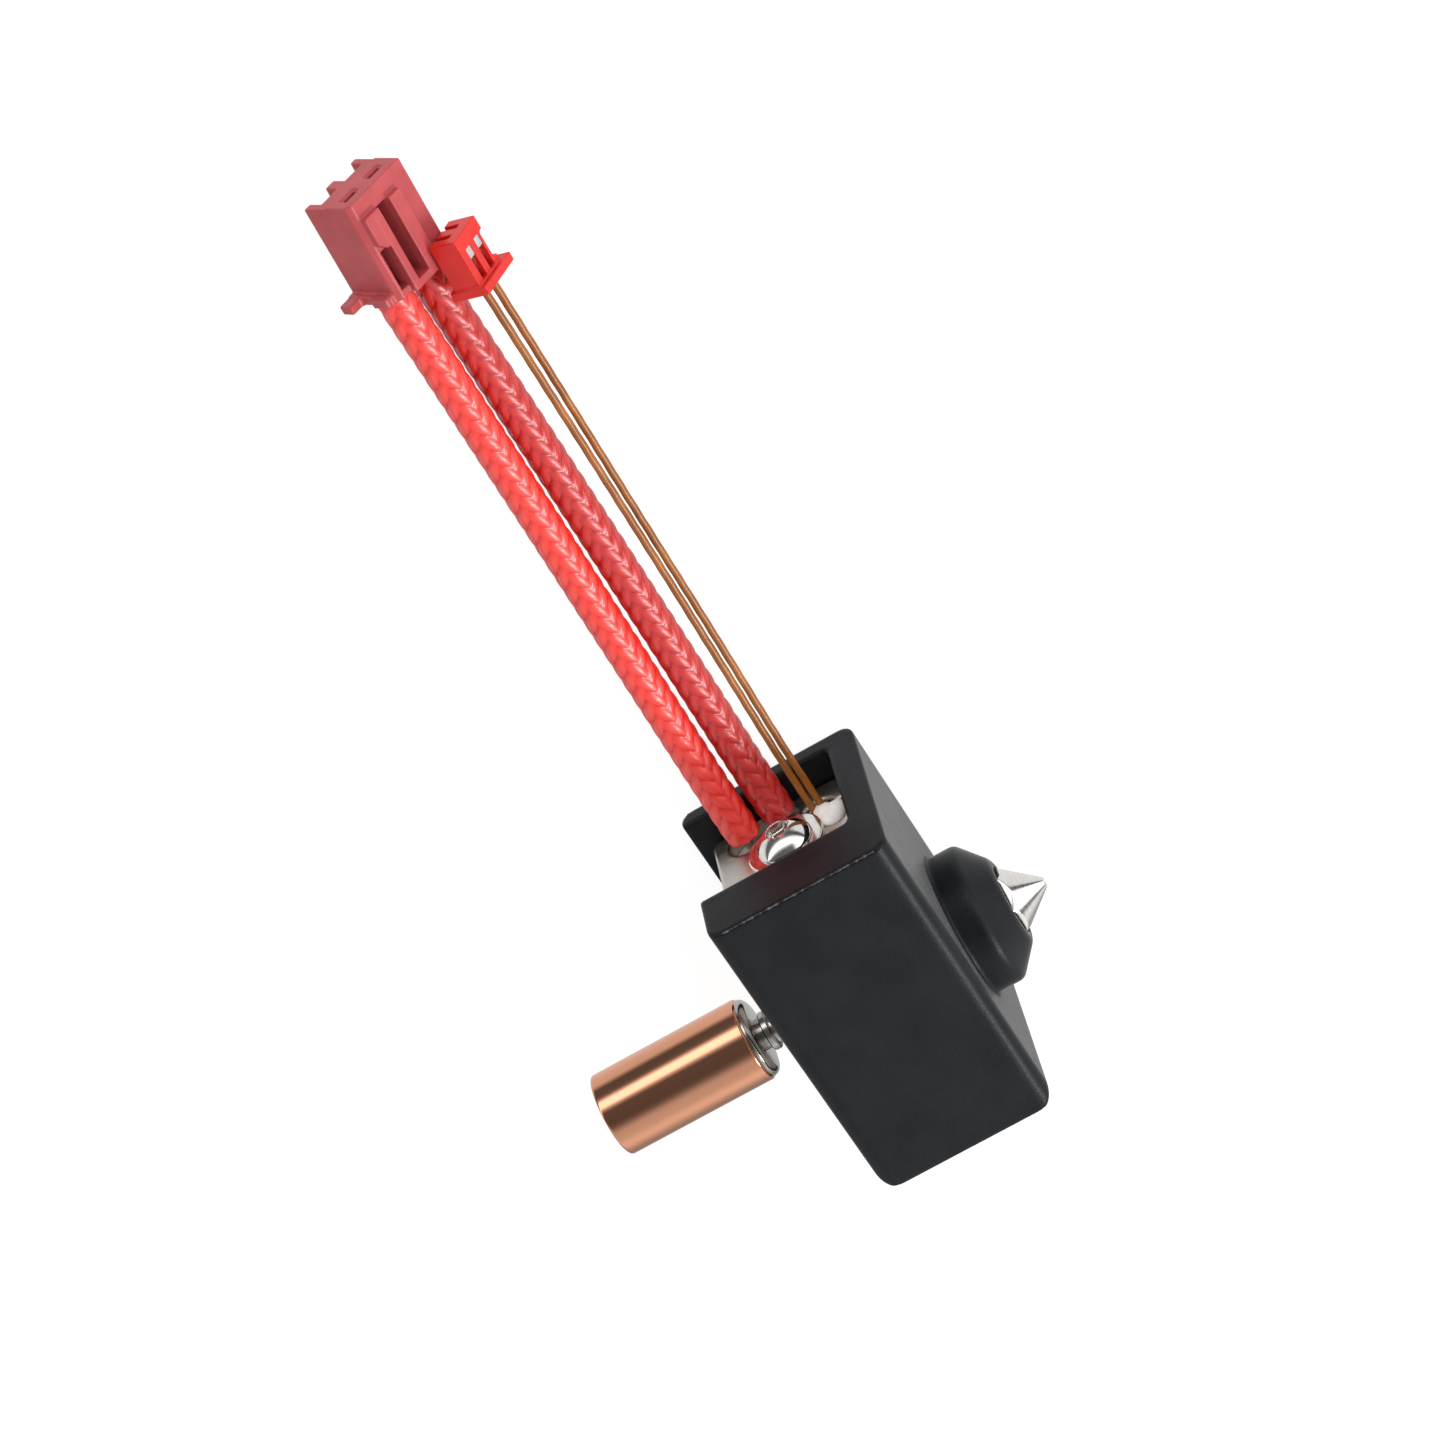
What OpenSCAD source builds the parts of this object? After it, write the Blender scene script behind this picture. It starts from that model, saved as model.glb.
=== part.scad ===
// Hotend assembly: a heater block in a silicone sock, with a copper-sleeved heat break on one
// side, a nozzle on the other, and a heater and a thermistor on their own plugged leads.
// Origin: on the resting face, straight under the filament axis and midway across the sock.
// +X runs along the block away from the leads, +Y along the filament path to the nozzle, +Z up.

/* [Silicone sock] */
// Length along the block
sock_len = 32.6; // [32:0.1:34]
// Width along the filament path
sock_w = 17.6; // [17.4:0.1:18.4]
// Height of the whole sock
sock_h = 20.4; // [20.4:0.1:21]
// Distance from the lead end of the sock to the filament axis
axis_from_rim = 18; // [17.9:0.1:18.1]
// Thickness of the back wall, which the part rests on
sock_back = 2; // [1.8:0.1:2]
// Thickness of the wall around the nozzle side
sock_side = 2.7; // [2.5:0.1:2.8]
// Radius of the outer long edges and corners
sock_r = 1.6; // [0.8:0.1:2]
// Radius of the boot around the nozzle
boot_r = 6.7; // [6:0.1:7.2]
// Length of the straight part of the boot
boot_len = 2.6; // [1.5:0.1:3]
// Length of the tapered part of the boot
boot_cone_len = 2.35; // [1.5:0.05:3]
// Radius of the front rim of the boot
boot_rim_r = 4; // [3.8:0.1:4.5]

/* [Heater block] */
// Length of the block
block_len = 27.2; // [26.8:0.1:27.2]
// Width along the filament path
block_w = 13.4; // [13:0.1:13.4]
// Height of the block
block_h = 16.2; // [16:0.1:16.2]
// Chamfer on the long edges
block_chamfer = 0.8; // [0.3:0.1:1]

/* [Heat break] */
// Diameter of the copper sleeve that a heat sink clamps
sleeve_d = 8; // [7:0.1:8.5]
// Length of the copper sleeve
sleeve_len = 14.9; // [12:0.1:18]
// Free length of the neck between the sleeve and the block
neck_len = 5.15; // [5:0.05:5.3]
// Diameter of the thin neck
neck_d = 3; // [2.8:0.1:3.4]
// Diameter of the filament passage
filament_d = 2; // [1.9:0.05:2.2]

/* [Nozzle] */
// Distance across the flats of the hexagon
hex_af = 5.5; // [5:0.1:5.6]
// Length of the hexagon outside the block
hex_len = 7.9; // [7.8:0.1:8.2]
// Length of the cone, from the hexagon to the tip
cone_len = 3.2; // [2.8:0.1:3.6]
// Diameter of the flat at the tip
tip_d = 0.9; // [0.8:0.1:1.2]
// Diameter of the orifice
orifice_d = 0.4; // [0.2:0.1:0.6]

/* [Retaining screw] */
// Diameter of the domed screw head
head_d = 5.6; // [5.2:0.1:5.7]
// Height of the screw head
head_h = 2; // [1.6:0.1:2.1]
// Diameter of the washer under the head
washer_d = 7.5; // [7:0.1:7.5]

/* [Leads] */
// Outer diameter of the braided heater leads
lead_d = 3.3; // [3:0.1:3.3]
// Diameter of the thermistor wires
wire_d = 0.7; // [0.6:0.1:0.7]

/* [Heater plug] */
// Length of the housing, with its rear flange
plug_len = 9.3; // [9:0.1:9.4]
// Wide side of the housing
plug_w = 6.8; // [6.6:0.1:7]
// Narrow side of the housing
plug_t = 5.4; // [5.2:0.1:5.6]
// Spacing of the two contacts
plug_pitch = 3.1; // [2.9:0.1:3.2]

/* [Thermistor plug] */
// Length of the housing, with its rear flange
mini_len = 5.2; // [5:0.1:5.4]
// Wide side of the housing
mini_w = 3.9; // [3.8:0.1:4.1]
// Narrow side of the housing
mini_t = 2.64; // [2.5:0.02:2.8]
// Spacing of the two contacts
mini_pitch = 1.5; // [1.25:0.05:1.5]

/* [Hidden] */

eps = 0.02;
fine = 72;
small = 36;

// Filament axis: X = 0, at half the height of the sock
axis_z = sock_h / 2;
gap = 0.1;

rim_x = -axis_from_rim;
end_wall = 2.9;
block_x0 = rim_x + end_wall + gap;
block_y1 = sock_w / 2 - sock_side - gap;
block_y0 = block_y1 - block_w;
block_z0 = axis_z - block_h / 2;
window_top = 14.2;
boot_bore_r = 3.35;

thread_r = 3;
thread_gap = 0.05;
neck_y0 = block_y0 - neck_len;
sleeve_y0 = neck_y0 - sleeve_len;
core_r = 2.2;
thread_end = -0.6;

hex_r = hex_af / 2 / cos(30);
tip_y = block_y1 + hex_len + cone_len;

// Heater pocket: a flat slot with two round ends, low in the lead end of the block
pocket_y = -2.3;
pocket_z = 4.25;
pocket_half = 1.8;
pocket_r = 1.85;
pocket_len = 23;
element_len = 20;
seal_x0 = block_x0 + 1.5;
seal_len = 1;

// Thermistor bore beside the heater pocket
sensor_y = 3.05;
sensor_z = 5.6;
sensor_r = 1.5;
sensor_len = 10;
sensor_bore_len = 11;
slit_h = 0.4;

// Screw that holds the washer over both bores
screw_y = -0.6;
screw_z = 8.4;
screw_r = 1.5;
screw_len = 7.5;
screw_bore_len = 8.5;
washer_t = 0.5;
washer_x0 = block_x0 - washer_t;

// Where the two plugs lie: middle of the mating face, then roll, pitch and yaw
plug_pos = [-87.73, -0.23, 5.89];
plug_roll = 43;
plug_pitch_angle = -1.9;
plug_yaw = -4;
mini_pos = [-80.19, 4.47, 6.75];
mini_roll = 58;
mini_pitch_angle = 1.2;
mini_yaw = -2.1;

// Middle lines of the four leads, from the block to the plugs
LEAD_LEFT = [
  [-15.7, -4, 4.3], [-19, -4, 4.3], [-23, -3.96, 4.2], [-27.5, -3.88, 4.12], [-32, -3.77, 4.1],
  [-37, -3.63, 4.16], [-42, -3.5, 4.3], [-47, -3.34, 4.5], [-52, -3.17, 4.77], [-57, -3.01, 5.1],
  [-62, -2.84, 5.5], [-67, -2.67, 5.93], [-71.5, -2.52, 6.31], [-75.5, -2.4, 6.65], [-78.51, -2.26, 6.88]
];
LEAD_RIGHT = [
  [-15.7, -0.4, 3.8], [-19, -0.4, 3.8], [-23, -0.37, 3.72], [-27.5, -0.3, 3.61], [-32, -0.22, 3.53],
  [-37, -0.13, 3.5], [-42, -0.05, 3.5], [-47, 0.04, 3.54], [-52, 0.12, 3.62], [-57, 0.2, 3.72],
  [-62, 0.28, 3.85], [-67, 0.36, 3.98], [-71.5, 0.42, 4.09], [-75.5, 0.47, 4.19], [-78.4, 0.51, 4.29]
];
WIRE_LEFT = [
  [-14.6, 2.65, 5.6], [-18, 2.65, 5.6], [-22, 2.69, 5.49], [-26.5, 2.78, 5.32], [-31, 2.9, 5.21],
  [-36, 3.03, 5.19], [-41, 3.18, 5.25], [-46, 3.32, 5.38], [-51, 3.46, 5.59], [-56, 3.62, 5.92],
  [-61, 3.78, 6.35], [-65, 3.92, 6.75], [-69, 4.06, 7.16], [-72, 4.16, 7.46], [-75.02, 4.25, 7.72]
];
WIRE_RIGHT = [
  [-14.6, 3.45, 5.6], [-18, 3.45, 5.6], [-22, 3.49, 5.46], [-26.5, 3.58, 5.24], [-31, 3.7, 5.05],
  [-36, 3.83, 4.96], [-41, 3.95, 4.94], [-46, 4.07, 4.99], [-51, 4.21, 5.1], [-56, 4.38, 5.3],
  [-61, 4.55, 5.55], [-65, 4.69, 5.8], [-69, 4.83, 6.07], [-72, 4.93, 6.27], [-74.96, 5.03, 6.44]
];

BLACK = "#2a2d30";
NICKEL = "#c9c5be";
COPPER = "#c8825c";
STEEL = "#b5b5b5";
LEAD_RED = "#d8322a";
PLUG_RED = "#b95356";
MINI_RED = "#d8281e";
CERAMIC = "#efebe0";
BEAD = "#c96b3c";
ENAMEL = "#8a4a16";
TIN = "#dcdcdc";

// A cylinder along +X from the given point
module rod_x(p, r, len, sides = fine) {
  translate(p) rotate([0, 90, 0]) cylinder(r = r, h = len, $fn = sides);
}

// A cylinder or cone along +Y on the filament axis
module rod_y(y0, len, r0, r1, sides = fine) {
  translate([0, y0, axis_z]) rotate([-90, 0, 0]) cylinder(r1 = r0, r2 = r1, h = len, $fn = sides);
}

// A rectangle with round corners
module round_rect(w, h, r) {
  translate([r, 0]) square([w - 2 * r, h]);
  translate([0, r]) square([w, h - 2 * r]);
  for (x = [r, w - r])
    for (y = [r, h - r])
      translate([x, y]) circle(r = r, $fn = small);
}

// A slot with two round ends, along +X from x0
module slot_x(x0, len, r) {
  translate([x0, pocket_y, pocket_z]) {
    for (side = [-1, 1]) rod_x([0, side * pocket_half, 0], r, len, small);
    translate([0, -pocket_half, -r]) cube([len, 2 * pocket_half, 2 * r]);
  }
}

// The solid of a lead: one tube swept along its middle line
function unit(v) = v / norm(v);
function heading(line, i) =
  let (last = len(line) - 1)
  unit(line[min(i + 1, last)] - line[max(i - 1, 0)]);
function ring(line, i, r, sides) =
  let (along = heading(line, i), side = unit(cross([0, 0, 1], along)), up = cross(along, side))
  [for (k = [0 : sides - 1])
    line[i] + r * (cos(360 * k / sides) * side + sin(360 * k / sides) * up)];
module tube(line, r, sides = 8) {
  n = len(line);
  points = [for (i = [0 : n - 1]) each ring(line, i, r, sides)];
  walls = [for (i = [0 : n - 2]) for (k = [0 : sides - 1])
    let (a = i * sides + k, b = i * sides + (k + 1) % sides)
    [a, b, b + sides, a + sides]];
  first = [for (k = [0 : sides - 1]) sides - 1 - k];
  last = [for (k = [0 : sides - 1]) (n - 1) * sides + k];
  // Faces are listed clockwise seen from outside
  polyhedron(points, [for (f = concat([first], walls, [last])) [for (j = [len(f) - 1 : -1 : 0]) f[j]]]);
}

// Places a plug: its own +X runs from the mating face to the leads, +Y across its wide side
module at_plug() {
  translate(plug_pos) rotate([-plug_roll, -plug_pitch_angle, plug_yaw]) children();
}
module at_mini() {
  translate(mini_pos) rotate([-mini_roll, -mini_pitch_angle, mini_yaw]) children();
}

// Soft boot around the block: open on the heat-break side and at the leads
module silicone_sock() {
  color(BLACK)
    difference() {
      union() {
        intersection() {
          translate([rim_x, -sock_w / 2, 0]) linear_extrude(sock_h) round_rect(sock_len, sock_w, sock_r);
          translate([rim_x, 0, 0]) rotate([90, 0, 90]) translate([-sock_w / 2, 0])
            linear_extrude(sock_len) round_rect(sock_w, sock_h, sock_r);
        }
        rod_y(sock_w / 2 - 1, boot_len + 1, boot_r, boot_r);
        rod_y(sock_w / 2 + boot_len, boot_cone_len, boot_r, boot_rim_r);
      }
      // Room for the block
      translate([block_x0 - gap, -sock_w, sock_back])
        cube([block_len + 2 * gap, sock_w + block_y1 + gap, block_h + 2 * gap]);
      // Window for the leads in the end wall
      translate([rim_x - 1, -sock_w, sock_back])
        cube([end_wall + 2, sock_w + block_y1, window_top - sock_back]);
      rod_y(0, sock_w, boot_bore_r, boot_bore_r);
    }
}

module heater_block() {
  c = block_chamfer;
  color(NICKEL)
    difference() {
      translate([block_x0, block_y0, block_z0]) rotate([90, 0, 90]) linear_extrude(block_len)
        polygon([[c, 0], [block_w - c, 0], [block_w, c], [block_w, block_h - c],
                 [block_w - c, block_h], [c, block_h], [0, block_h - c], [0, c]]);
      rod_y(block_y0 - 1, block_w + 2, thread_r, thread_r);
      slot_x(block_x0 - eps, pocket_len, pocket_r);
      rod_x([block_x0 - 1, sensor_y, sensor_z], sensor_r + eps, sensor_bore_len + 1, small);
      translate([block_x0 - 1, sensor_y, sensor_z - slit_h / 2])
        cube([sensor_bore_len + 1, block_w, slit_h]);
      rod_x([block_x0 - 1, screw_y, screw_z], screw_r, screw_bore_len + 1, small);
    }
}

// Copper sleeve over the cold end of the heat break
module heatbreak_sleeve() {
  color(COPPER)
    difference() {
      rod_y(sleeve_y0, sleeve_len, sleeve_d / 2, sleeve_d / 2);
      rod_y(sleeve_y0 - 1, sleeve_len + 2, core_r, core_r);
    }
}

// Thin steel tube: core of the sleeve, domed shoulder, grooved neck and threaded end
module heatbreak_tube() {
  dome = 0.9;
  collar = 0.7;
  collar_step = 0.4;
  dome_edge = 0.2;
  dome_top = 0.3;
  collar_at = [0.5, 1.8];
  seat = 0.6;
  color(STEEL)
    difference() {
      union() {
        rod_y(sleeve_y0, sleeve_len, core_r - eps, core_r - eps);
        rod_y(neck_y0, dome, sleeve_d / 2 - dome_edge, neck_d / 2 + dome_top);
        rod_y(neck_y0 + dome, neck_len - dome, neck_d / 2, neck_d / 2);
        for (at = collar_at)
          rod_y(neck_y0 + dome + at, collar, neck_d / 2 + collar_step, neck_d / 2 + collar_step);
        rod_y(block_y0 - seat, seat, thread_r + collar_step, thread_r + collar_step);
        rod_y(block_y0 - eps, thread_end - block_y0 + eps, thread_r - thread_gap, thread_r - thread_gap);
      }
      rod_y(sleeve_y0 - 1, sleeve_len + block_w + neck_len + 2, filament_d / 2, filament_d / 2);
    }
}

// Nozzle: threaded shank, slim hexagon and a long cone
module nozzle_body() {
  shank_y = thread_end + gap;
  cone_r = hex_af / 2 + 0.2;
  throat_len = 1.8;
  land = 0.8;
  color(NICKEL)
    difference() {
      union() {
        rod_y(shank_y, block_y1 - shank_y + eps, thread_r - thread_gap, thread_r - thread_gap);
        intersection() {
          rod_y(block_y1 + gap, hex_len + cone_len - gap, hex_r, hex_r, 6);
          union() {
            rod_y(block_y1, hex_len, hex_r + 1, hex_r + 1);
            rod_y(block_y1 + hex_len, cone_len, cone_r, tip_d / 2);
          }
        }
        rod_y(block_y1 - eps, gap + 2 * eps, thread_r - thread_gap, thread_r - thread_gap);
      }
      rod_y(shank_y - 1, tip_y - land - throat_len - shank_y + 1 + eps, filament_d / 2, filament_d / 2);
      rod_y(tip_y - land - throat_len, throat_len, filament_d / 2, orifice_d / 2);
      rod_y(tip_y - land - eps, land + 1, orifice_d / 2, orifice_d / 2, small);
    }
}

// Domed screw with a six-sided socket
module retaining_screw() {
  head_x = washer_x0 - head_h;
  socket_af = 2;
  socket_depth = 1.2;
  dome_r = (pow(head_d / 2, 2) + pow(head_h, 2)) / (2 * head_h);
  color(NICKEL)
    difference() {
      union() {
        rod_x([washer_x0 - eps, screw_y, screw_z], screw_r - thread_gap, screw_len, small);
        intersection() {
          rod_x([head_x, screw_y, screw_z], head_d / 2, head_h);
          translate([head_x + dome_r, screw_y, screw_z]) sphere(r = dome_r, $fn = fine);
        }
      }
      rod_x([head_x - 1, screw_y, screw_z], socket_af / 2 / cos(30), socket_depth + 1, 6);
    }
}

module retaining_washer() {
  color(NICKEL)
    difference() {
      rod_x([washer_x0, screw_y, screw_z], washer_d / 2, washer_t);
      rod_x([washer_x0 - 1, screw_y, screw_z], screw_r + 0.1, washer_t + 2, small);
    }
}

// Flat ceramic heating element in the pocket
module heater_element() {
  color(CERAMIC) slot_x(seal_x0 + seal_len, element_len, pocket_r - 0.1);
}

module heater_seal() {
  color(CERAMIC) slot_x(seal_x0, seal_len, pocket_r - 0.05);
}

// Bare wire from the seal to the end of a heater lead
module heater_tail(line) {
  tail_r = 0.5;
  color(TIN) rod_x(line[0], tail_r, seal_x0 - line[0][0], small);
}
module heater_tail_left() {
  heater_tail(LEAD_LEFT);
}
module heater_tail_right() {
  heater_tail(LEAD_RIGHT);
}

module heater_lead_left() {
  color(LEAD_RED) tube(LEAD_LEFT, lead_d / 2);
}
module heater_lead_right() {
  color(LEAD_RED) tube(LEAD_RIGHT, lead_d / 2);
}

// Outline of the heater plug across its length, with the ribs on its back
module plug_outline() {
  w = plug_w / 2;
  t = plug_t / 2;
  floor_z = 1.4 - t;
  edge_rib = 0.6;
  mid_rib = 0.45;
  draft = 0.25;
  bevel = 0.35;
  polygon([[-w, t], [w - bevel, t], [w, t - bevel], [w, -t], [w - edge_rib, -t],
           [w - edge_rib - draft, floor_z], [mid_rib + draft, floor_z], [mid_rib, 0.1 - t],
           [-mid_rib, 0.1 - t], [-mid_rib - draft, floor_z], [-w + edge_rib + draft, floor_z],
           [-w + edge_rib, -t], [-w, -t]]);
}

module heater_plug_housing() {
  flange = 0.8;
  body = plug_len - flange;
  wing = 1.8;
  lip = 0.9;
  rib_h = 0.6;
  left_rib = -2.9;
  left_stem = -1.9;
  slot_y = -1.1;
  slot_w = 1.35;
  right_rib = slot_y + slot_w;
  rib_w = 1.3;
  rib_x = 1.6;
  window_len = 7.2;
  side_window_x = 4.8;
  side_window_w = 0.8;
  cavity_w = 1.7;
  cavity_h = 2.6;
  pin_w = 1.3;
  pin_h = 0.55;
  pin_z = 0.95;
  step_depth = 0.15;
  top = plug_t / 2;
  color(PLUG_RED)
    at_plug()
      difference() {
        union() {
          rotate([90, 0, 90]) linear_extrude(plug_len) plug_outline();
          // Rear flange, with a wing and a short lip on each narrow side
          for (side = [-1, 1])
            translate([body, side * plug_w / 2, 0]) rotate([90, 0, 90]) linear_extrude(flange)
              polygon([[0, -top], [side * wing, -top], [side * wing, 1.3 - top],
                       [side * 0.5, -0.2], [side * lip, 0.2], [side * lip, 2], [0, 2.3]]);
          // Raised ribs beside the contact window
          translate([rib_x, left_rib, top - eps]) cube([3, slot_y - left_rib, rib_h]);
          translate([rib_x, left_stem, top - eps]) cube([plug_len - rib_x, slot_y - left_stem, rib_h]);
          translate([rib_x, right_rib, top - eps]) cube([plug_len - rib_x, rib_w, rib_h]);
          translate([body, left_stem, top - eps]) cube([flange, right_rib + rib_w - left_stem, rib_h]);
        }
        for (side = [-1, 1]) {
          // Cavity for a terminal, open to the rear, and the slot for the mating pin
          translate([1, side * plug_pitch / 2 - cavity_w / 2, -1]) cube([plug_len, cavity_w, cavity_h]);
          translate([-1, side * plug_pitch / 2 - pin_w / 2, pin_z]) cube([3, pin_w, pin_h]);
        }
        // Windows in the ribbed face
        translate([rib_x, slot_y, cavity_h - 1]) cube([window_len - 0.4, slot_w, 3]);
        translate([side_window_x, left_stem - side_window_w, cavity_h - 1])
          cube([body - side_window_x - 0.3, side_window_w, 3]);
        // Step across the mating face
        translate([-1, -plug_w, -0.35]) cube([1 + step_depth, 2 * plug_w, 0.2]);
      }
}

// Crimped contact: a boxed spring end, a neck and a barrel around the bare wire
module heater_terminal(side) {
  box_x = 1.2;
  box_len = 4;
  box_w = 1.5;
  box_h = 2;
  mouth_w = 1;
  mouth_h = 0.6;
  barrel_x = 6.2;
  barrel_r = 0.6;
  color(TIN)
    at_plug()
      translate([0, side * plug_pitch / 2, 0.3]) {
        difference() {
          translate([box_x, -box_w / 2, -0.9]) cube([box_len, box_w, box_h]);
          translate([0, -mouth_w / 2, 0.2]) cube([box_x + box_len - 0.6, mouth_w, mouth_h]);
        }
        translate([box_x + box_len - gap, -0.3, -0.6]) cube([1.2, 0.6, 0.4]);
        rod_x([barrel_x, 0, -0.3], barrel_r, plug_len - barrel_x, small);
      }
}
module heater_terminal_left() {
  heater_terminal(-1);
}
module heater_terminal_right() {
  heater_terminal(1);
}

// Metal cup in the thermistor bore
module thermistor_capsule() {
  wall = 0.25;
  color(NICKEL)
    difference() {
      rod_x([block_x0 + 0.2, sensor_y, sensor_z], sensor_r, sensor_len, small);
      rod_x([block_x0 - 1, sensor_y, sensor_z], sensor_r - wall, sensor_len - 0.2, small);
    }
}

// Glass bead deep in the cup, on its two legs
module thermistor_bead() {
  bead_x = block_x0 + 7.6;
  color(BEAD) {
    translate([bead_x, sensor_y, sensor_z]) sphere(r = 0.8, $fn = small);
    for (side = [-1, 1])
      rod_x([block_x0 + 5.2, sensor_y + side * 0.4, sensor_z], 0.15, 2.2, 16);
  }
}

// Cement that fills the mouth of the cup
module thermistor_potting() {
  color(CERAMIC) rod_x([block_x0 + 0.4, sensor_y, sensor_z], sensor_r - 0.27, 4.8, small);
}

module thermistor_wire_left() {
  color(ENAMEL) tube(WIRE_LEFT, wire_d / 2);
}
module thermistor_wire_right() {
  color(ENAMEL) tube(WIRE_RIGHT, wire_d / 2);
}

module thermistor_plug_housing() {
  flange = 0.8;
  body = mini_len - flange;
  w = mini_w / 2;
  t = mini_t / 2;
  wing = 0.9;
  lip = 0.5;
  band = 1.3;
  cavity_w = 0.9;
  cavity_h = 1.5;
  pin_w = 0.5;
  channel_w = 0.8;
  notch_w = 0.45;
  color(MINI_RED)
    at_mini()
      difference() {
        union() {
          translate([0, -w, -t]) cube([mini_len, mini_w, mini_t]);
          translate([body, -w - gap, -t - lip]) cube([flange, mini_w + gap + wing, mini_t + 2 * lip]);
        }
        for (side = [-1, 1]) {
          // Terminal cavity, pin slot and the channel that shows the contact
          translate([1, side * mini_pitch / 2 - cavity_w / 2, -0.7]) cube([mini_len, cavity_w, cavity_h]);
          translate([-1, side * mini_pitch / 2 - pin_w / 2, -t - 1]) cube([3, pin_w, t + 1.2]);
          translate([band, side * mini_pitch / 2 - channel_w / 2, 0.6]) cube([body - band - gap, channel_w, t]);
        }
        // Cut-away corner behind the front band
        translate([band, w - notch_w, 0.3]) cube([body - band, 1, t]);
      }
}

// Small contact with a bright lance that shows in its channel
module thermistor_terminal(side) {
  contact_x = 1.3;
  contact_w = 0.7;
  contact_len = 2.4;
  barrel_x = 3.6;
  barrel_r = 0.3;
  color(TIN)
    at_mini()
      translate([0, side * mini_pitch / 2, 0]) {
        translate([contact_x, -contact_w / 2, 0.25]) cube([0.9, contact_w, 1]);
        translate([contact_x, -contact_w / 2, -0.5]) cube([contact_len, contact_w, 0.8]);
        rod_x([barrel_x, 0, 0.1], barrel_r, mini_len - barrel_x, 16);
      }
}
module thermistor_terminal_left() {
  thermistor_terminal(-1);
}
module thermistor_terminal_right() {
  thermistor_terminal(1);
}

silicone_sock();
heater_block();
heatbreak_sleeve();
heatbreak_tube();
nozzle_body();
retaining_screw();
retaining_washer();
heater_element();
heater_seal();
heater_tail_left();
heater_tail_right();
heater_lead_left();
heater_lead_right();
heater_plug_housing();
heater_terminal_left();
heater_terminal_right();
thermistor_capsule();
thermistor_bead();
thermistor_potting();
thermistor_wire_left();
thermistor_wire_right();
thermistor_plug_housing();
thermistor_terminal_left();
thermistor_terminal_right();
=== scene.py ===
import math

import bpy
import numpy as np
from mathutils import Matrix, Vector


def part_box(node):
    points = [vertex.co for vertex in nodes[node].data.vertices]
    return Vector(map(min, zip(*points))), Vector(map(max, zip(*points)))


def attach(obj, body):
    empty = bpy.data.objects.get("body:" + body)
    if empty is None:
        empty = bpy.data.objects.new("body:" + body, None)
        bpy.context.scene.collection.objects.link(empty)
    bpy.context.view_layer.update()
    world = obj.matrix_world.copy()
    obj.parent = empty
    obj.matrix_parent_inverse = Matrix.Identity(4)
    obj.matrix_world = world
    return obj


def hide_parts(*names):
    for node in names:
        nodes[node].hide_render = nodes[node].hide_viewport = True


# Looks of the hotend assembly. Shapes are worked out in millimetres in the row frame:
# +X along the block away from the leads, +Y along the filament path, +Z up.
MM = 0.001

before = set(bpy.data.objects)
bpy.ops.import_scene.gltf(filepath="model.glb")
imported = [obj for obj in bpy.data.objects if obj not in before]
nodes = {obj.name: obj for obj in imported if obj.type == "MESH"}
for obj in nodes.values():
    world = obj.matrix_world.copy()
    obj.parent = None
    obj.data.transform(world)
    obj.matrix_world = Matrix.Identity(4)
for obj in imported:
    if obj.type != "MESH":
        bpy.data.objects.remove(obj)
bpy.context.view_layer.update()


def corners(node):
    """Lowest and highest corner of a CAD node, in mm."""
    return tuple(np.array(corner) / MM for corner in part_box(node))


SOCK_LOW, SOCK_HIGH = corners("silicone_sock")
BLOCK_LOW, BLOCK_HIGH = corners("heater_block")
NOZZLE_LOW, NOZZLE_HIGH = corners("nozzle_body")
SLEEVE_LOW, SLEEVE_HIGH = corners("heatbreak_sleeve")
WASHER_LOW, WASHER_HIGH = corners("retaining_washer")
AXIS_Z = (NOZZLE_LOW[2] + NOZZLE_HIGH[2]) / 2


# ---------------------------------------------------------------- camera

def place_camera():
    """The photograph's view: a long lens, turned so that the leads run up to the left."""
    right = Vector((0.4851, 0.8648, 0.1296)).normalized()
    back = Vector((-0.4975, 0.1511, 0.8542))
    back = (back - back.dot(right) * right).normalized()
    up = back.cross(right)
    data = bpy.data.cameras.new("camera")
    data.lens = 103.5
    data.clip_start = 0.01
    data.clip_end = 20
    camera = bpy.data.objects.new("camera", data)
    camera.matrix_world = Matrix.Translation(Vector((-206.9, 54.7, 313.5)) * MM) @ Matrix(
        (right, up, back)).transposed().to_4x4()
    bpy.context.scene.collection.objects.link(camera)
    bpy.context.scene.camera = camera


place_camera()


# ---------------------------------------------------------------- materials

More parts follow.
